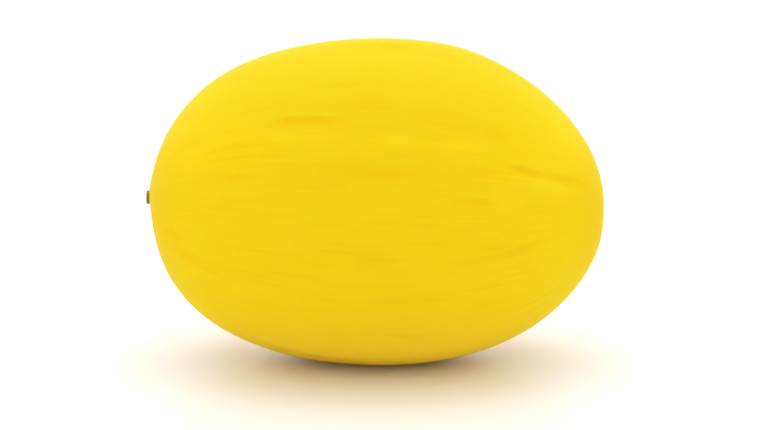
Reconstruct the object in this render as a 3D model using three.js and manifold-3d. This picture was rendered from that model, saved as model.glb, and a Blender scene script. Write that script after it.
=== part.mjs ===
// A canary melon: an oval, smooth-skinned fruit that lies on its side on a small flat spot, with the
// short stub of its cut stem still in its pointed end.
//
// The frame is in millimetres, with +Z up. The fruit's long axis lies along X, its stem end towards -X
// and its blossom end towards +X. The origin is on the surface that it rests on, under the middle.
import * as THREE from "three";
import { mergeVertices } from "three/addons/utils/BufferGeometryUtils.js";
import Module from "manifold-3d";

// The fruit as it grew, before its own weight flattened the rest spot.
const FRUIT_LENGTH = 199; // from the skin at the stem end to the skin at the blossom end
const FRUIT_WIDTH = 145.6; // across Y
const FRUIT_HEIGHT = 144; // across Z

// How the outline differs from a plain oval. These are shares of the local radius, so they have no unit.
const FULLNESS = 0.085; // both shoulders are fuller than an ellipse's
const STEM_FULLNESS = 0.1; // and the stem end's shoulder is fuller than the blossom end's

// The long axis isn't quite straight or level.
const SAG = 1.9; // both ends droop this far below the middle
const LEAN = 1.1; // the blossom end hangs this much lower again, and the stem end that much less
const STEM_RISE = 2.9; // the very tip at the stem turns up
const TIP_SHARPNESS = 32; // a higher power keeps that rise closer to the tip

// The skin swells to a low cone round the stem, and is pressed flat round the blossom scar.
const STEM_BOSS_HEIGHT = 0.9;
const STEM_BOSS_RADIUS = 9;
const SCAR_DEPTH = 1.1;
const SCAR_RADIUS = 9.5;

// Shallow folds that run from end to end: how many go round the fruit, how high they stand above the
// mean skin, and how far the first is turned from the level line that faces -Y.
const FOLDS = [
  { count: 5, height: 0.3, turn: THREE.MathUtils.degToRad(28) },
  { count: 10, height: 0.3, turn: THREE.MathUtils.degToRad(10) },
  { count: 13, height: 0.2, turn: THREE.MathUtils.degToRad(2) },
];

// The flat spot underneath.
const REST_DEPTH = 1.1; // how much of the fruit's height it takes away

// The stub of the stem, and the socket that it grows from.
const STUB_DIAMETER = 6;
const STUB_PROUD = 1.3; // how far it stands out of the skin
const STUB_CHAMFER = 0.4;
const STUB_DISH = 0.25; // the cut face has dried hollow
const SOCKET_DEPTH = 2.4;
const SOCKET_CLEARANCE = 0.3;

// How finely the surfaces are divided.
const SKIN_AROUND = 72;
const SKIN_ALONG = 46;
const STUB_AROUND = 24;

const wasm = await Module();
wasm.setup();

// A closed geometry as a manifold-3d solid.
function solidOf(geometry) {
  const bare = geometry.clone();
  bare.deleteAttribute("normal");
  bare.deleteAttribute("uv");
  const merged = mergeVertices(bare);
  return new wasm.Manifold(
    new wasm.Mesh({
      numProp: 3,
      vertProperties: merged.attributes.position.array,
      triVerts: new Uint32Array(merged.index.array),
    }),
  );
}

// A manifold-3d solid as a geometry.
function geometryOf(solid) {
  const mesh = solid.getMesh();
  const geometry = new THREE.BufferGeometry();
  geometry.setAttribute("position", new THREE.BufferAttribute(mesh.vertProperties, 3));
  geometry.setIndex(new THREE.BufferAttribute(mesh.triVerts, 1));
  geometry.computeVertexNormals();
  return geometry;
}

// The height of the long axis over its middle, where along is 1 at the stem end and -1 at the blossom end.
function axisHeight(along) {
  const tip = STEM_RISE * Math.max(along, 0) ** TIP_SHARPNESS;
  return LEAN * along - SAG * along ** 2 + tip;
}

// How far the folds raise or lower the skin, at an angle round the fruit from the level line facing -Y.
function foldHeight(around) {
  return FOLDS.reduce((sum, fold) => sum + fold.height * Math.cos(fold.count * (around - fold.turn)), 0);
}

// A point of the skin: polar runs from 0 at the stem end to PI at the blossom end.
function skinPoint(polar, around) {
  const along = Math.cos(polar);
  const fold = 1 + (foldHeight(around) / (FRUIT_WIDTH / 2)) * Math.sin(polar) ** 2;
  const girth = Math.sin(polar) * (1 + FULLNESS * along ** 2 + STEM_FULLNESS * along ** 3) * fold;
  const y = -(FRUIT_WIDTH / 2) * girth * Math.cos(around);
  const z = (FRUIT_HEIGHT / 2) * girth * Math.sin(around);

  const halfLength = (FRUIT_LENGTH - STEM_BOSS_HEIGHT + SCAR_DEPTH) / 2;
  const offAxis = Math.hypot(y, z);
  const boss = along > 0 ? STEM_BOSS_HEIGHT * Math.exp(-((offAxis / STEM_BOSS_RADIUS) ** 2)) : 0;
  const press = along < 0 ? SCAR_DEPTH * Math.exp(-((offAxis / SCAR_RADIUS) ** 4)) : 0;
  return new THREE.Vector3(-halfLength * along - boss - press, y, z + axisHeight(along));
}

// The fruit as it grew: a sphere whose poles are turned to the ends and whose points are moved to the skin.
function grownFruit() {
  const geometry = new THREE.SphereGeometry(1, SKIN_AROUND, SKIN_ALONG);
  const position = geometry.attributes.position;
  const direction = new THREE.Vector3();
  for (let i = 0; i < position.count; i++) {
    direction.fromBufferAttribute(position, i);
    const polar = Math.acos(THREE.MathUtils.clamp(direction.y, -1, 1));
    const around = Math.atan2(direction.z, -direction.x);
    const point = skinPoint(polar, around);
    position.setXYZ(i, point.x, point.y, point.z);
  }
  return geometry;
}

// The stub, lathed about +Y with the skin at 0, is laid over so that it points out of the stem end.
function stubGeometry() {
  const radius = STUB_DIAMETER / 2;
  const profile = [
    new THREE.Vector2(0, -SOCKET_DEPTH),
    new THREE.Vector2(radius, -SOCKET_DEPTH),
    new THREE.Vector2(radius, STUB_PROUD - STUB_CHAMFER),
    new THREE.Vector2(radius - STUB_CHAMFER, STUB_PROUD),
    new THREE.Vector2(0, STUB_PROUD - STUB_DISH),
  ];
  return new THREE.LatheGeometry(profile, STUB_AROUND).rotateZ(Math.PI / 2);
}

// The hole that the stub sits in, with its clearance, open towards -X.
function socketGeometry() {
  const radius = STUB_DIAMETER / 2 + SOCKET_CLEARANCE;
  const bottom = SOCKET_DEPTH + SOCKET_CLEARANCE;
  const mouth = STUB_PROUD + STEM_BOSS_HEIGHT;
  return new THREE.CylinderGeometry(radius, radius, bottom + mouth, STUB_AROUND)
    .rotateZ(Math.PI / 2)
    .translate((bottom - mouth) / 2, 0, 0);
}

// A block that takes off what lies below the rest spot.
function restGeometry(height) {
  const block = new THREE.BoxGeometry(FRUIT_LENGTH, FRUIT_WIDTH, FRUIT_HEIGHT);
  return block.translate(0, 0, height - FRUIT_HEIGHT / 2);
}

const grown = grownFruit();
grown.computeBoundingBox();
const restHeight = grown.boundingBox.min.z + REST_DEPTH;
const stemEnd = skinPoint(0, 0);

const skinMaterial = new THREE.MeshStandardMaterial({ color: 0xf3cd18, roughness: 0.45, metalness: 0 });
const stubMaterial = new THREE.MeshStandardMaterial({ color: 0x9c8a58, roughness: 0.85, metalness: 0 });

const fruit = new THREE.Mesh(
  geometryOf(
    solidOf(grown)
      .subtract(solidOf(restGeometry(restHeight)))
      .subtract(solidOf(socketGeometry().translate(stemEnd.x, stemEnd.y, stemEnd.z))),
  ),
  skinMaterial,
);
fruit.name = "fruit";

const stub = new THREE.Mesh(stubGeometry(), stubMaterial);
stub.name = "stem_stub";
stub.position.copy(stemEnd);

// The origin goes under the middle of the whole melon, on the surface that it rests on.
const melon = new THREE.Group();
melon.add(fruit, stub);
const box = new THREE.Box3().setFromObject(melon);
const middle = box.getCenter(new THREE.Vector3());
melon.position.set(-middle.x, -middle.y, -box.min.z);

export default melon;
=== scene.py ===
import math
import random

import bmesh
import bpy
import numpy as np
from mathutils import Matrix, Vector, noise


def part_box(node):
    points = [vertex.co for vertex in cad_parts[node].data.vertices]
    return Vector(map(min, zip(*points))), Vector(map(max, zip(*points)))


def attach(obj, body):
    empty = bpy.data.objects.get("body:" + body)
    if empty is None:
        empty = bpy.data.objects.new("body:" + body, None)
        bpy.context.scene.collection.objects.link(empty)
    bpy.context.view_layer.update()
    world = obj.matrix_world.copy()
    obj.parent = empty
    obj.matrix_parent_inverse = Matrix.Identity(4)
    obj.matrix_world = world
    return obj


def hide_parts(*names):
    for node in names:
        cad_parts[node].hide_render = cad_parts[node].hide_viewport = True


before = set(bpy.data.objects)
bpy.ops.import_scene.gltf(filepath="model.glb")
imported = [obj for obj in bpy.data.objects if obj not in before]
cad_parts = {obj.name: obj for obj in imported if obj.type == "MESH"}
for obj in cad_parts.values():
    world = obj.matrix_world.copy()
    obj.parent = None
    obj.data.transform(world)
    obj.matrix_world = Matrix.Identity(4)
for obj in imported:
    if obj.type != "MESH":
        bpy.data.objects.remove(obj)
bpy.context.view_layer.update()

# ---------------------------------------------------------------------------------------------
# The fruit: one grown body. Its rind is hard, smooth and waxy, and its skin is drawn into shallow
# furrows that run from the stem to the blossom end, where they gather. It lies on its side, on a
# small spot that its weight has flattened.

MM = 0.001

fruit_low, fruit_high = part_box("fruit")
stub_low, stub_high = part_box("stem_stub")
fruit_middle = (fruit_low + fruit_high) / 2
fruit_half = (fruit_high - fruit_low) / 2
stub_middle = (stub_low + stub_high) / 2
stub_radius = (stub_high.z - stub_low.z) / 2

# The skin is first a coarse cage, which is then subdivided.
CAGE_AROUND = 48
CAGE_ALONG = 24
CAGE_SWELL = 0.25 * MM  # subdividing a cage draws it in by about this much
SKIN_LEVELS = 3
FIRST_INSET = 0.1 * MM  # of each new ring at an end, before its corners are moved

# The socket that the stem grows from, and the collar of rind that swells round it.
SOCKET_GAP = 0.3 * MM
SOCKET_DEPTH = 2.2 * MM
COLLAR_RADIUS = 6 * MM
COLLAR_RISE = 0.65 * MM
MOUTH_RISE = 0.35 * MM
MOUTH_CORK = 1.1 * MM  # how far the corky lip runs out over the rind

# The blossom end is a flat disc, with a corky button in its middle where the flower was.
BLOSSOM_DROP = 4.5 * MM  # how much lower it is than the stem
SCAR_RADIUS = 9.8 * MM
SCAR_INSET = 0.25 * MM  # how far the disc lies inside the fruit's end
SCAR_EDGE = 2 * MM  # how wide the bend is that leads into the disc
SCAR_RIPPLE = 0.07 * MM
RIPPLE_STEP = 0.55 * MM  # the length of one radian of its ripples
BUTTON_RADIUS = 3.2 * MM
BUTTON_RISE = 0.35 * MM
BUTTON_RIM = 0.45 * MM  # the width of the darker line at its edge
MOAT_WIDTH = 0.5 * MM  # of the sunk line round it

# The top is a little fuller towards the blossom end: how much, where along the fruit and over what
# length, and at what angle and over how many degrees.
TOP_SWELL = 1.1 * MM
TOP_SWELL_AT = 0.36
TOP_SWELL_LENGTH = 0.24
TOP_SWELL_TURN = 97
TOP_SWELL_SPREAD = 30

# The skin's faint broad lumps, the puckers that gather at the stem, and the waves in the corky lip:
# how deep they are, and how fine their noise is.
LUMP_DEPTH = 0.35 * MM
LUMPS_ALONG = 14
LUMPS_ACROSS = 34
PUCKER_DEPTH = 0.5 * MM
PUCKER_REACH = 26 * MM
PUCKERS_AROUND = 9
PUCKERS_ALONG = 3
LIP_WAVE = 0.5
LIP_WAVES_AROUND = 3

# The relief fades out between these heights above the rest spot.
RELIEF_NONE = 0.5 * MM
RELIEF_FULL = 5 * MM

# The furrows that show best, each with: where it starts and ends along the fruit, from -1 at the
# stem to 1 at the blossom end; the angle in degrees above the level line facing -Y that it has at
# each end; half its width and its depth in millimetres. One with a depth below 0 is a ridge.
# Not an example to follow: these places are another program's numbers, rounded, when they should
# have been chosen by hand.
FURROWS = [
    # The two faint ones high on the fruit.
    (-0.2, 0.2, 55, 53, 1.5, 0.3),
    (-0.15, 0.1, 44, 44, 3, 0.35),
    # The deepest crease, left of the middle, and its fainter neighbour to the right.
    (-0.45, -0.1, 40, 36, 2, 0.9),
    (0.1, 0.65, 38, 38, 2.5, 0.35),
    # The swollen bands below them.
    (-0.6, -0.15, 34, 31, 3, -0.3),
    (-0.1, 0.5, 31, 31, 3, -0.35),
    # The broad hollow across the middle, and the short creases round it.
    (-0.45, 0.5, 21, 20, 5, 0.4),
    (-0.75, -0.45, 16, 19, 1.5, 0.35),
    (-0.35, -0.1, 15, 15, 1, 0.35),
    (-0.9, -0.7, 45, 40, 2.5, 0.4),
    # The sharp crease near the blossom end, with a swollen band below it.
    (0.55, 0.85, 25, 24, 1.5, 0.85),
    (0.7, 0.95, 24, 28, 2, 0.35),
    (0.45, 0.9, 21, 22, 2.5, -0.35),
    (0.3, 0.5, 10, 11, 1.5, 0.3),
    (0.6, 0.85, 11, 11, 1.5, 0.3),
    # The crease that rises towards the blossom end, below the middle.
    (0.5, 0.85, -9, -5, 1.5, 0.6),
    # The wrinkles that run out of the stem.
    (-0.95, -0.8, -12, -13, 1.5, 0.6),
    (-0.95, -0.65, -20, -22, 2, 0.6),
    # The faint ones on the lower half.
    (-0.15, 0.1, -8, -10, 3, 0.3),
    (0.4, 0.55, -20, -20, 1, 0.35),
    (0.1, 0.25, -26, -26, 1, 0.3),
    (0.05, 0.25, -40, -42, 1.5, 0.35),
]
GROOVE_FULL = 0.6  # the depth, in millimetres, at which the painted shade in a furrow, and the painted highlight on a ridge, are at their strongest
FURROW_WANDER = 1.6  # how many degrees a furrow strays where its noise is 1
WANDER_SCALE = 3.5
FURROW_STEPS = 33  # where along a furrow its noise is worked out
FADE_POWER = 0.7  # below 1, a furrow keeps its depth nearly to its ends
DEPTH_MIDDLE = 0.85  # a furrow's depth goes up and down along it, round this share
DEPTH_CHANGE = 0.8
DEPTH_LIMITS = (0.3, 1.3)
UNEVEN_SCALE = 9
LOWER_LIP = 0.55  # a furrow's lower side slopes more gently than its upper side
SHOULDER_WIDTH = 2.3  # the rind stands out a little on both sides of a furrow
SHOULDER_RISE = 0.35

# The furrows on the rest of the fruit are drawn at random between two angles, about HIDDEN_STEP
# degrees apart, each with its middle, half length, drift, half width and depth within these limits.
HIDDEN_FROM = 78
HIDDEN_TO = 305
HIDDEN_STEP = 8
HIDDEN_STEP_CHANGE = (0.5, 1.5)
HIDDEN_MIDDLE = 0.6
HIDDEN_HALF_LENGTH = (0.08, 0.4)
HIDDEN_END = 0.97
HIDDEN_DRIFT = 3
HIDDEN_HALF_WIDTH = (1.3, 4)
HIDDEN_DEPTH = (0.25, 0.55)
HIDDEN_SEED = 5


def only_active(piece):
    """Select and activate one object, with everything else deselected."""
    for other in bpy.context.selected_objects:
        other.select_set(False)
    piece.select_set(True)
    bpy.context.view_layer.objects.active = piece


def apply_modifier(piece, kind, **settings):
    """Add one modifier to a piece and apply it."""
    only_active(piece)
    modifier = piece.modifiers.new(kind.lower(), kind)
    for name, value in settings.items():
        setattr(modifier, name, value)
    bpy.ops.object.modifier_apply(modifier=modifier.name)


def draw_in(piece, side, middle, radius, rise):
    """Inset the many-cornered face at one end, -1 for the -X end and 1 for the +X end, draw its
    corners in to a circle round the middle, and raise it outwards."""
    bpy.ops.mesh.select_mode(type="FACE")
    bpy.ops.mesh.select_all(action="DESELECT")
    mesh = bmesh.from_edit_mesh(piece.data)
    end = max(mesh.faces, key=lambda face: (len(face.verts), side * face.calc_center_median().x))
    end.select_set(True)
    bmesh.update_edit_mesh(piece.data)
    bpy.ops.mesh.inset(thickness=FIRST_INSET)
    mesh = bmesh.from_edit_mesh(piece.data)
    end = next(face for face in mesh.faces if face.select)
    for corner in end.verts:
        spoke = corner.co - middle
        spoke.x = 0
        circle = middle + spoke.normalized() * radius
        corner.co = Vector((corner.co.x + side * rise, circle.y, circle.z))
    bmesh.update_edit_mesh(piece.data)


# The cage is a sphere laid along X and drawn onto the solid. The fans of triangles at its two ends
# are each made one face, so that no point is left in the middle of an end.
bpy.ops.object.select_all(action="DESELECT")
bpy.ops.mesh.primitive_uv_sphere_add(
    segments=CAGE_AROUND,
    ring_count=CAGE_ALONG,
    radius=1,
    location=fruit_middle,
    rotation=(0, -math.pi / 2, 0),
)
fruit = bpy.context.object
fruit.name = "rind"
fruit.scale = (fruit_half.z, fruit_half.y, fruit_half.x)
only_active(fruit)
bpy.ops.object.transform_apply(location=True, rotation=True, scale=True)

bpy.ops.object.mode_set(mode="EDIT")
bpy.ops.mesh.select_mode(type="FACE")
mesh = bmesh.from_edit_mesh(fruit.data)
for face in mesh.faces:
    face.select_set(len(face.verts) == 3)
bmesh.update_edit_mesh(fruit.data)
bpy.ops.mesh.dissolve_faces()
bpy.ops.object.mode_set(mode="OBJECT")
apply_modifier(
    fruit,
    "SHRINKWRAP",
    target=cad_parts["fruit"],
    wrap_method="NEAREST_SURFACEPOINT",
    wrap_mode="OUTSIDE_SURFACE",
    offset=CAGE_SWELL,
)

# At the stem, the end is drawn in to the collar and the socket's mouth, and sunk to the socket's floor.
blossom_middle = Vector((fruit_high.x, 0, stub_middle.z - BLOSSOM_DROP))
bpy.ops.object.mode_set(mode="EDIT")
draw_in(fruit, -1, stub_middle, COLLAR_RADIUS, COLLAR_RISE)
draw_in(fruit, -1, stub_middle, stub_radius + SOCKET_GAP, MOUTH_RISE)
bpy.ops.mesh.extrude_region_move(TRANSFORM_OT_translate={"value": (SOCKET_DEPTH, 0, 0)})
draw_in(fruit, -1, stub_middle, stub_radius / 2, 0)

# At the blossom end, it is drawn in on the disc, at the button's foot and edge and on its top.
for radius in (SCAR_RADIUS * 0.75, BUTTON_RADIUS * 1.45, BUTTON_RADIUS, BUTTON_RADIUS * 0.5):
    draw_in(fruit, 1, blossom_middle, radius, 0)
bpy.ops.object.mode_set(mode="OBJECT")
apply_modifier(fruit, "SUBSURF", levels=SKIN_LEVELS, render_levels=SKIN_LEVELS)

# Where each point of the skin is along the fruit and round it.
point_count = len(fruit.data.vertices)
skin = np.empty(point_count * 3)
fruit.data.vertices.foreach_get("co", skin)
skin = skin.reshape(-1, 3)
outward = np.empty(point_count * 3)
fruit.data.vertices.foreach_get("normal", outward)
outward = outward.reshape(-1, 3)

stem_z = stub_middle.z
blossom_z = blossom_middle.z
along = np.clip((skin[:, 0] - fruit_middle.x) / fruit_half.x, -1, 1)
lean = (blossom_z - stem_z) / 2
sag = (blossom_z + stem_z) / 2 - fruit_middle.z
core_z = fruit_middle.z + lean * along + sag * along**2
off_axis = np.hypot(skin[:, 1], skin[:, 2] - core_z)
around = np.degrees(np.arctan2(skin[:, 2] - core_z, -skin[:, 1]))


def ease(values, start, end):
    """0 before start, 1 after end, and a smooth rise between them."""
    t = np.clip((values - start) / (end - start), 0, 1)
    return t * t * (3 - 2 * t)


def furrow_mask(number, start, end, turn_start, turn_end, half_width):
    """How much each point of the skin lies in one furrow, from 0 to 1, and how far off its line it is."""
    length = end - start
    way = (along - start) / length
    steps = np.linspace(0, 1, FURROW_STEPS)
    # Each furrow has its own places in the noise, which its number gives.
    stray = []
    uneven = []
    for step in steps:
        stray.append(noise.noise(Vector((step * WANDER_SCALE * length + 2, number * 5.3, 1.7))))
        uneven.append(noise.noise(Vector((step * UNEVEN_SCALE * length + 4, number * 3.1, 8.2))))
    line = turn_start + (turn_end - turn_start) * way + FURROW_WANDER * np.interp(way, steps, stray)
    turn = (around - line + 180) % 360 - 180
    distance = np.radians(turn) * off_axis / (half_width * MM)
    distance = np.where(distance < 0, distance * LOWER_LIP, distance)
    window = np.where((way > 0) & (way < 1), np.sin(np.pi * np.clip(way, 0, 1)) ** FADE_POWER, 0)
    window *= np.clip(DEPTH_MIDDLE + DEPTH_CHANGE * np.interp(way, steps, uneven), *DEPTH_LIMITS)
    return window, distance


# The furrows on the rest of the fruit are added after those that show best.
rng = random.Random(HIDDEN_SEED)
furrows = list(FURROWS)
turn = HIDDEN_FROM
while turn < HIDDEN_TO:
    middle = rng.uniform(-HIDDEN_MIDDLE, HIDDEN_MIDDLE)
    half_length = rng.uniform(*HIDDEN_HALF_LENGTH)
    drift = rng.uniform(-HIDDEN_DRIFT, HIDDEN_DRIFT)
    start = max(middle - half_length, -HIDDEN_END)
    end = min(middle + half_length, HIDDEN_END)
    half_width = rng.uniform(*HIDDEN_HALF_WIDTH)
    depth = rng.uniform(*HIDDEN_DEPTH)
    furrows.append((start, end, turn - drift, turn + drift, half_width, depth))
    turn += HIDDEN_STEP * rng.uniform(*HIDDEN_STEP_CHANGE)

sunk = np.zeros(point_count)
groove = np.zeros(point_count)
for number, (start, end, turn_start, turn_end, half_width, depth) in enumerate(furrows):
    window, distance = furrow_mask(number, start, end, turn_start, turn_end, half_width)
    hollow = np.exp(-(distance**2))
    shoulder = np.exp(-((distance / SHOULDER_WIDTH) ** 2))
    sunk += window * depth * MM * (hollow - SHOULDER_RISE * shoulder)
    groove += window * depth * hollow

# The lumps are drawn out along the fruit.
lumps = np.empty(point_count)
puckers = np.empty(point_count)
lip_wave = np.empty(point_count)
for index in range(point_count):
    x, y, z = skin[index]
    lumps[index] = noise.noise(Vector((x * LUMPS_ALONG, y * LUMPS_ACROSS, z * LUMPS_ACROSS)))
    angle = math.radians(around[index])
    spoke = Vector((0, math.cos(angle), math.sin(angle)))
    puckers[index] = noise.noise(PUCKERS_AROUND * spoke + Vector((along[index] * PUCKERS_ALONG, 0, 0)))
    lip_wave[index] = noise.noise(LIP_WAVES_AROUND * spoke + Vector((5, 0, 0)))
sunk += LUMP_DEPTH * lumps
stem_near = np.exp(-((off_axis / PUCKER_REACH) ** 2)) * ease(off_axis, COLLAR_RADIUS, 2 * COLLAR_RADIUS)
sunk += PUCKER_DEPTH * puckers * stem_near * (along < 0)

off_top = (around - TOP_SWELL_TURN + 180) % 360 - 180
swell = np.exp(-(((along - TOP_SWELL_AT) / TOP_SWELL_LENGTH) ** 2) - (off_top / TOP_SWELL_SPREAD) ** 2)
sunk -= TOP_SWELL * swell

# Nothing is sunk in the socket or on the rest spot.
stem_off = np.hypot(skin[:, 1] - stub_middle.y, skin[:, 2] - stub_middle.z)
free = ease(skin[:, 2], RELIEF_NONE, RELIEF_FULL)
free *= np.where(along < 0, ease(stem_off, stub_radius + SOCKET_GAP, COLLAR_RADIUS), 1)
skin -= outward * (sunk * free)[:, None]
skin[:, 2] = np.maximum(skin[:, 2], 0)

# The blossom end is flattened to its disc, which is faintly rippled round the button.
scar_off = np.hypot(skin[:, 1], skin[:, 2] - blossom_z)
scar_turn = np.arctan2(skin[:, 2] - blossom_z, skin[:, 1])
in_disc = ease(scar_off, SCAR_RADIUS + SCAR_EDGE, SCAR_RADIUS) * (along > 0)
ripple = SCAR_RIPPLE * np.cos(scar_off / RIPPLE_STEP + 1.2 * np.sin(3 * scar_turn))
ripple *= ease(scar_off, SCAR_RADIUS, SCAR_RADIUS * 0.7)
button_edge = BUTTON_RADIUS * (1 + 0.05 * np.sin(2 * scar_turn + 0.7) + 0.02 * np.sin(5 * scar_turn))
button = ease(scar_off, button_edge, button_edge * 0.7)
dimple = np.exp(-((scar_off / (0.35 * BUTTON_RADIUS)) ** 2))
moat = np.exp(-(((scar_off - button_edge * 1.15) / MOAT_WIDTH) ** 2))
disc_x = fruit_high.x - SCAR_INSET + ripple + BUTTON_RISE * (button - 0.9 * dimple - 0.5 * moat)
skin[:, 0] += in_disc * (disc_x - skin[:, 0])
fruit.data.vertices.foreach_set("co", skin.ravel())
fruit.data.update()

only_active(fruit)
bpy.ops.object.shade_smooth()

# What the material reads: how deep in a furrow or high on a ridge a point is, painted as shade and as
# highlight, how corky the rind is there, and the way that the rind's grain runs.
groove_layer = fruit.data.attributes.new("groove", "FLOAT", "POINT")
groove_layer.data.foreach_set("value", np.clip(groove / GROOVE_FULL, -1, 1))
lip_edge = stub_radius + SOCKET_GAP + MOUTH_CORK * (1 + LIP_WAVE * lip_wave)
button_rim = np.exp(-(((scar_off - button_edge * 0.85) / BUTTON_RIM) ** 2))
tan = button * (0.5 + 0.4 * button_rim + 0.4 * dimple)
cork = ease(stem_off, lip_edge, lip_edge - MOUTH_CORK) * (along < 0) + tan * (along > 0)
cork_layer = fruit.data.attributes.new("cork", "FLOAT", "POINT")
cork_layer.data.foreach_set("value", cork)
grain_layer = fruit.data.attributes.new("grain", "FLOAT_VECTOR", "POINT")
turned = np.radians(around)
grain = np.stack([along, np.cos(turned), np.sin(turned)], axis=1)
grain_layer.data.foreach_set("vector", grain.ravel())

# The rind's colours: of its body and its corky spots, with painted light: painted shade at its ends, on
# its top and in its furrows, painted bounce light on its underside, and painted highlights on its ridges.
LEMON = (0.785, 0.58, 0.009)
YELLOW = (0.8, 0.582, 0.006)
GOLD = (0.825, 0.582, 0.009)
END_SHADE = (0.75, 0.485, 0.004)
TOP_SHADE = (0.65, 0.485, 0.011)
UNDERSIDE_LIGHT = (0.98, 0.61, 0.025)
RIDGE_HIGHLIGHT = (0.87, 0.68, 0.018)
STREAK_AND_FURROW_SHADE = (0.77, 0.46, 0.003)
CORK = (0.5, 0.28, 0.05)
RIND_ROUGHNESS = 0.46
RIND_IOR = 1.06  # low, because the wax has hardly any gloss
FLESH_GLOW = 0.6  # the share of the light that comes back out of the flesh
FLESH_DEPTH = 20 * MM  # how far the red part of it spreads


class Wire:
    """One value or colour on its way through a material's nodes: arithmetic on it adds Math nodes."""

    def __init__(self, socket):
        self.socket = socket

    @classmethod
    def node(cls, tree, kind, settings=None, inputs=None, output=0):
        """Add a node, with its settings first, then the values or wires of its sockets."""
        made = tree.nodes.new(kind)
        for name, value in (settings or {}).items():
            setattr(made, name, value)
        for key, value in (inputs or {}).items():
            if isinstance(value, Wire):
                tree.links.new(value.socket, made.inputs[key])
            elif isinstance(value, tuple) and len(made.inputs[key].default_value) == 4:
                made.inputs[key].default_value = (*value, 1)
            else:
                made.inputs[key].default_value = value
        return cls(made.outputs[output])

    def math(self, operation, first, second):
        """Add one Math node to the tree that this wire is in."""
        tree = self.socket.id_data
        return Wire.node(tree, "ShaderNodeMath", {"operation": operation}, {0: first, 1: second})

    def __add__(self, other):
        return self.math("ADD", self, other)

    def __radd__(self, other):
        return self.math("ADD", other, self)

    def __sub__(self, other):
        return self.math("SUBTRACT", self, other)

    def __rsub__(self, other):
        return self.math("SUBTRACT", other, self)

    def __mul__(self, other):
        return self.math("MULTIPLY", self, other)

    def __rmul__(self, other):
        return self.math("MULTIPLY", other, self)


def new_material(name):
    """An empty material, its node tree and its Principled shader."""
    material = bpy.data.materials.new(name)
    material.use_nodes = True
    tree = material.node_tree
    shader = next(node for node in tree.nodes if node.type == "BSDF_PRINCIPLED")
    return material, tree, shader


def mixed(tree, factor, under, over):
    """One colour laid over another."""
    return Wire.node(
        tree, "ShaderNodeMix", {"data_type": "RGBA"}, {0: factor, 6: under, 7: over}, output=2
    )


def eased(tree, value, start, end):
    """0 before start, 1 after end, and a smooth rise between them."""
    return Wire.node(
        tree,
        "ShaderNodeMapRange",
        {"interpolation_type": "SMOOTHSTEP"},
        {"Value": value, "From Min": start, "From Max": end},
    )


def cloudy(tree, vector, scale, detail=2, roughness=0.5):
    """A soft noise from 0 to 1."""
    return Wire.node(
        tree,
        "ShaderNodeTexNoise",
        None,
        {"Vector": vector, "Scale": scale, "Detail": detail, "Roughness": roughness},
    )


rind, tree, shader = new_material("rind")
shader.inputs["IOR"].default_value = RIND_IOR
shader.inputs["Subsurface Weight"].default_value = FLESH_GLOW
shader.inputs["Subsurface Radius"].default_value = (1, 0.4, 0.05)
shader.inputs["Subsurface Scale"].default_value = FLESH_DEPTH
here = Wire.node(tree, "ShaderNodeTexCoord", output=3)
height = Wire.node(tree, "ShaderNodeSeparateXYZ", None, {0: here}, output=2)
grain_way = Wire.node(tree, "ShaderNodeAttribute", {"attribute_name": "grain"}, output=1)
depth = Wire.node(tree, "ShaderNodeAttribute", {"attribute_name": "groove"}, output=2)
corky = Wire.node(tree, "ShaderNodeAttribute", {"attribute_name": "cork"}, output=2)
lengthwise = Wire.node(tree, "ShaderNodeSeparateXYZ", None, {0: grain_way}, output=0)

# The grain is squeezed along the fruit, so that its streaks are long and thin.
stretched = Wire.node(
    tree, "ShaderNodeMapping", None, {"Vector": grain_way, "Scale": (0.9, 7, 7)}
)
fine_stretched = Wire.node(
    tree, "ShaderNodeMapping", None, {"Vector": grain_way, "Scale": (3, 30, 30)}
)
streaks = cloudy(tree, stretched, 1.5, 4, 0.6)
fine_streaks = cloudy(tree, fine_stretched, 1, 3, 0.6)
blotches = cloudy(tree, here, 26, 3, 0.55)
fine_blotches = cloudy(tree, here, 140, 3, 0.6)

# Each line lays one colour over those before it: how much of it, and between which values of what.
# Heights are in metres.
# Painted light: the rind is redder towards the bottom, for warm light bounced up from the floor.
painted_light_by_height = eased(tree, height, 0.02, 0.125)
colour = mixed(tree, painted_light_by_height, GOLD, LEMON)
colour = mixed(tree, 0.5 * eased(tree, streaks, 0.42, 0.6), colour, YELLOW)
colour = mixed(tree, 0.35 * eased(tree, blotches, 0.45, 0.65), colour, GOLD)
colour = mixed(tree, 0.28 * eased(tree, fine_streaks, 0.5, 0.66), colour, STREAK_AND_FURROW_SHADE)
colour = mixed(tree, 0.12 * eased(tree, fine_blotches, 0.5, 0.7), colour, LEMON)
# Painted shade: the ends are darker and more orange, where the outline turns away from the light.
colour = mixed(tree, 0.7 * eased(tree, lengthwise * lengthwise, 0.6, 1), colour, END_SHADE)
# Painted light: the underside near the floor is brighter and redder, for light bounced up from the floor.
colour = mixed(tree, eased(tree, height, 0.038, 0), colour, UNDERSIDE_LIGHT)
# Painted shade: the top is darker, to hold back the light of the softbox overhead.
colour = mixed(tree, 0.5 * eased(tree, height, 0.095, 0.135), colour, TOP_SHADE)
# Painted shade in the furrows, deepest where they are deepest.
colour = mixed(tree, 0.45 * eased(tree, depth, 0, 1), colour, STREAK_AND_FURROW_SHADE)
# Painted highlight on the swollen ridges.
colour = mixed(tree, 0.5 * eased(tree, 0 - depth, 0, 1), colour, RIDGE_HIGHLIGHT)
mottled_cork = corky + 0.35 * (fine_blotches - 0.5)
colour = mixed(tree, 0.8 * eased(tree, mottled_cork, 0.2, 0.9), colour, CORK)
tree.links.new(colour.socket, shader.inputs["Base Color"])

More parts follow.
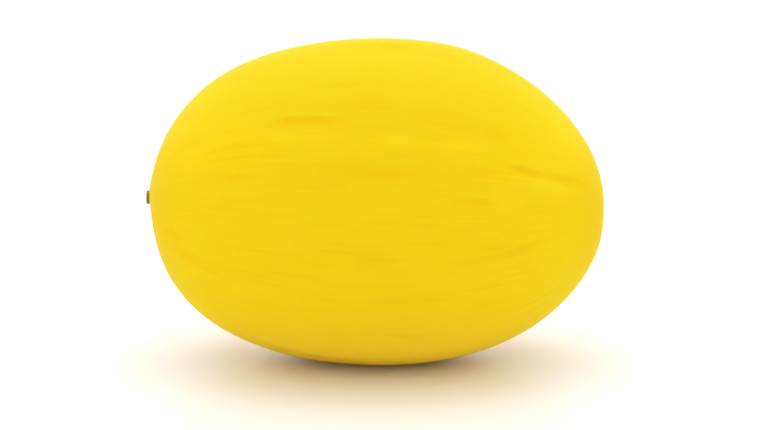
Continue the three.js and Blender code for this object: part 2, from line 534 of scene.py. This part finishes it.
roughness = RIND_ROUGHNESS + 0.08 * (fine_blotches - 0.5) + 0.06 * (streaks - 0.5) + 0.3 * corky
tree.links.new(roughness.socket, shader.inputs["Roughness"])

relief = 0.3 * fine_streaks + 0.35 * fine_blotches + 0.8 * corky * fine_blotches
bump = Wire.node(
    tree, "ShaderNodeBump", None, {"Strength": 0.6, "Distance": 0.15 * MM, "Height": relief}
)
tree.links.new(bump.socket, shader.inputs["Normal"])
fruit.data.materials.append(rind)

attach(fruit, "root")
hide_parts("fruit")

# ---------------------------------------------------------------------------------------------
# The stem stub: what is left of the stalk, cut off close to the rind. It is dry and woody, with
# five worn ribs and a fibrous bark, and its cut face has shrunk into a hollow round a split pith.
# It sits in the rind's socket.

STUB_SIDES = 24
STUB_LEVELS = 3
BARK_ROOM = 0.12 * MM  # what the ribs and fibres may stand out
STUB_BANDS = (0.2, 0.45, 0.7, 0.88)  # where its side is cut into bands, from its root to its cut face
# Steps across the cut face, from the bark to the pith: the radius and how far each lies outwards.
CUT_STEPS = (
    (2.62 * MM, 0.12 * MM),
    (2.35 * MM, -0.02 * MM),
    (2.1 * MM, -0.35 * MM),
    (1.65 * MM, 0.14 * MM),
    (1.15 * MM, 0.04 * MM),
    (0.85 * MM, -0.4 * MM),
    (0.4 * MM, -0.2 * MM),
)
RIB_COUNT = 5
RIB_HEIGHT = 0.1 * MM
FIBRE_HEIGHT = 0.06 * MM
FLARE = 0.22 * MM  # how much the bark spreads at the cut
RAGGED_EDGE = 0.16 * MM
HOLLOW_RADIUS = 2.08 * MM  # the shrunken ring between the bark and the wood
HOLLOW_WIDTH = 0.22 * MM
PITH_RADIUS = 0.9 * MM
PITH_CORE = 0.5 * MM
BARK_INSIDE = 2.3 * MM  # where the cut face's colour begins to give way to the bark's
BARK_OUTSIDE = 2.7 * MM
# The splits in the cut face: each one's angle in radians, and how far it reaches from the middle.
SPLITS = ((0.3, 2.4 * MM), (1.7, 1.7 * MM), (3.2, 2.5 * MM), (4.2, 1.5 * MM), (5.4, 2.1 * MM))
SPLIT_BEND = 0.3  # radians that a split strays, at most, at the bark
SPLIT_START = 0.3 * MM
SPLIT_WIDTH = 0.11 * MM
SPLIT_DEPTH = 0.35 * MM

bpy.ops.object.select_all(action="DESELECT")
bpy.ops.mesh.primitive_cylinder_add(
    vertices=STUB_SIDES,
    radius=stub_radius - BARK_ROOM,
    depth=stub_high.x - stub_low.x - 2 * BARK_ROOM,
    end_fill_type="NGON",
    location=stub_middle,
    rotation=(0, -math.pi / 2, 0),
)
stub = bpy.context.object
stub.name = "stalk_stub"
only_active(stub)
bpy.ops.object.transform_apply(location=True, rotation=True, scale=True)
bpy.ops.object.mode_set(mode="EDIT")
for share in STUB_BANDS:
    bpy.ops.mesh.select_all(action="SELECT")
    cut_x = stub_high.x + (stub_low.x - stub_high.x) * share
    bpy.ops.mesh.bisect(plane_co=(cut_x, 0, 0), plane_no=(1, 0, 0))
for radius, rise in CUT_STEPS:
    draw_in(stub, -1, stub_middle, radius, rise)
draw_in(stub, 1, stub_middle, stub_radius * 0.8, 0)
bpy.ops.object.mode_set(mode="OBJECT")
apply_modifier(stub, "SUBSURF", levels=STUB_LEVELS, render_levels=STUB_LEVELS)

# Its ribs, fibres, ragged edge and splits.
point_count = len(stub.data.vertices)
bark = np.empty(point_count * 3)
stub.data.vertices.foreach_get("co", bark)
bark = bark.reshape(-1, 3)
stub_off = np.hypot(bark[:, 1] - stub_middle.y, bark[:, 2] - stub_middle.z)
stub_turn = np.arctan2(bark[:, 2] - stub_middle.z, bark[:, 1] - stub_middle.y)
to_cut = (stub_high.x - bark[:, 0]) / (stub_high.x - stub_low.x)
fibres = np.empty(point_count)
ragged = np.empty(point_count)
for index in range(point_count):
    across = Vector((math.cos(stub_turn[index]), math.sin(stub_turn[index]), 0))
    fibres[index] = noise.noise(9 * across + Vector((0, 0, to_cut[index] * 1.5)))
    ragged[index] = noise.noise(3.5 * across + Vector((0, 0, 7)))
outer = ease(stub_off, stub_radius * 0.55, stub_radius * 0.95)
spread = FLARE * ease(to_cut, 0.75, 1) + RIB_HEIGHT * np.cos(RIB_COUNT * stub_turn) + FIBRE_HEIGHT * fibres
on_cut = ease(to_cut, 0.8, 0.95)
stretch = 1 + outer * spread / np.maximum(stub_off, 1e-6)
bark[:, 1] = stub_middle.y + (bark[:, 1] - stub_middle.y) * stretch
bark[:, 2] = stub_middle.z + (bark[:, 2] - stub_middle.z) * stretch
splits = np.zeros(point_count)
for angle, reach in SPLITS:
    bent = angle + SPLIT_BEND * math.sin(3 * angle) * stub_off / stub_radius
    aside = np.abs((stub_turn - bent + math.pi) % (2 * math.pi) - math.pi) * stub_off
    crack = np.exp(-((aside / SPLIT_WIDTH) ** 2)) * ease(stub_off, reach, 0.75 * reach)
    splits = np.maximum(splits, crack)
splits *= ease(stub_off, SPLIT_START, PITH_RADIUS) * on_cut
ring = np.exp(-(((stub_off - HOLLOW_RADIUS) / HOLLOW_WIDTH) ** 2))
hollows = 0.7 * ring + ease(stub_off, PITH_RADIUS, PITH_CORE)
bark[:, 0] += SPLIT_DEPTH * splits - RAGGED_EDGE * ragged * outer * on_cut
bark[:, 0] = np.maximum(bark[:, 0], stub_low.x)
stub.data.vertices.foreach_set("co", bark.ravel())
stub.data.update()
only_active(stub)
bpy.ops.object.shade_smooth()

# What the material reads: how much of a point is on the cut face and in a split or hollow, where it
# is painted with shade, and the way that the fibres run.
cut_layer = stub.data.attributes.new("cut", "FLOAT", "POINT")
cut_layer.data.foreach_set("value", on_cut * ease(stub_off, BARK_OUTSIDE, BARK_INSIDE))
split_layer = stub.data.attributes.new("split", "FLOAT", "POINT")
split_layer.data.foreach_set("value", np.clip(splits + hollows * on_cut, 0, 1))
fibre_layer = stub.data.attributes.new("fibre", "FLOAT_VECTOR", "POINT")
fibre = np.stack([to_cut, np.cos(stub_turn), np.sin(stub_turn)], axis=1)
fibre_layer.data.foreach_set("vector", fibre.ravel())

# The dry stalk's colours. The darkest one is also painted as shade in its splits and hollows.
BARK = (0.27, 0.2, 0.072)
BARK_PALE = (0.4, 0.33, 0.16)
BARK_DARK_AND_SHADE = (0.12, 0.085, 0.03)
CUT_WOOD = (0.44, 0.35, 0.18)
PITH = (0.2, 0.145, 0.06)

dry_stem, tree, shader = new_material("dry_stem")
shader.inputs["Specular IOR Level"].default_value = 0.2
here = Wire.node(tree, "ShaderNodeTexCoord", output=3)
fibre_way = Wire.node(tree, "ShaderNodeAttribute", {"attribute_name": "fibre"}, output=1)
cut = Wire.node(tree, "ShaderNodeAttribute", {"attribute_name": "cut"}, output=2)
split = Wire.node(tree, "ShaderNodeAttribute", {"attribute_name": "split"}, output=2)
drawn_out = Wire.node(
    tree, "ShaderNodeMapping", None, {"Vector": fibre_way, "Scale": (0.8, 8, 8)}
)
strands = cloudy(tree, drawn_out, 1.6, 4, 0.65)
grit = cloudy(tree, here, 1500, 3, 0.6)
patches = cloudy(tree, here, 420, 2, 0.5)

colour = mixed(tree, eased(tree, strands, 0.42, 0.62), BARK, BARK_PALE)
colour = mixed(tree, 0.8 * eased(tree, strands, 0.5, 0.36), colour, BARK_DARK_AND_SHADE)
face = mixed(tree, eased(tree, patches, 0.4, 0.65), CUT_WOOD, BARK)
colour = mixed(tree, cut, colour, face)
colour = mixed(tree, 0.35 * eased(tree, grit, 0.48, 0.66), colour, PITH)
# Painted shade in the splits and the sunk hollows of the cut face.
colour = mixed(tree, 0.9 * split, colour, BARK_DARK_AND_SHADE)
tree.links.new(colour.socket, shader.inputs["Base Color"])

roughness = 0.82 + 0.12 * (grit - 0.5)
tree.links.new(roughness.socket, shader.inputs["Roughness"])

relief = strands + 0.5 * grit
bump = Wire.node(
    tree, "ShaderNodeBump", None, {"Strength": 0.8, "Distance": 0.12 * MM, "Height": relief}
)
tree.links.new(bump.socket, shader.inputs["Normal"])
stub.data.materials.append(dry_stem)

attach(stub, "root")
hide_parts("stem_stub")

# ---------------------------------------------------------------------------------------------
# The floor, the light and the camera: a plain pale studio floor under even light from all round, a
# round softbox overhead, a little behind the fruit, and a long lens that looks slightly down.

FLOOR_SIZE = 12
FLOOR_COLOUR = (0.885, 0.9, 0.9, 1)
FLOOR_ROUGHNESS = 0.4
bpy.ops.object.select_all(action="DESELECT")
bpy.ops.mesh.primitive_plane_add(size=FLOOR_SIZE, location=(0, 0, 0))
floor = bpy.context.object
floor.name = "floor"
floor_material, tree, shader = new_material("floor")
shader.inputs["Base Color"].default_value = FLOOR_COLOUR
shader.inputs["Roughness"].default_value = FLOOR_ROUGHNESS
floor.data.materials.append(floor_material)

STUDIO_LIGHT = 1.15
world = bpy.data.worlds.new("studio")
bpy.context.scene.world = world
world.use_nodes = True
world.node_tree.nodes["Background"].inputs["Color"].default_value = (1, 1, 1, 1)
world.node_tree.nodes["Background"].inputs["Strength"].default_value = STUDIO_LIGHT

SOFTBOX_SIZE = 1.6
SOFTBOX_HEIGHT = 1.7
SOFTBOX_BACK = 0.4
SOFTBOX_POWER = 8
light = bpy.data.lights.new("softbox", "AREA")
light.shape = "DISK"
light.size = SOFTBOX_SIZE
light.energy = SOFTBOX_POWER
softbox = bpy.data.objects.new("softbox", light)
softbox.location = (0, SOFTBOX_BACK, SOFTBOX_HEIGHT)
bpy.context.scene.collection.objects.link(softbox)

CAMERA_ELEVATION = math.radians(11)
CAMERA_DISTANCE = 1.1
VIEW_WIDTH = 0.3376  # what the frame takes in at the fruit
LOOK_RIGHT = 0.0041
LOOK_DOWN = 0.0065
SENSOR_WIDTH = 36

ahead = Vector((0, math.cos(CAMERA_ELEVATION), -math.sin(CAMERA_ELEVATION)))
above = Vector((0, math.sin(CAMERA_ELEVATION), math.cos(CAMERA_ELEVATION)))
aim = Vector((0, 0, fruit_middle.z)) + LOOK_RIGHT * Vector((1, 0, 0)) - LOOK_DOWN * above
lens = bpy.data.cameras.new("camera")
lens.sensor_width = SENSOR_WIDTH
lens.lens = SENSOR_WIDTH * CAMERA_DISTANCE / VIEW_WIDTH
camera = bpy.data.objects.new("camera", lens)
camera.location = aim - ahead * CAMERA_DISTANCE
camera.rotation_euler = (math.pi / 2 - CAMERA_ELEVATION, 0, 0)
bpy.context.scene.collection.objects.link(camera)
bpy.context.scene.camera = camera
bpy.context.scene.view_settings.view_transform = "Standard"

only_active(fruit)
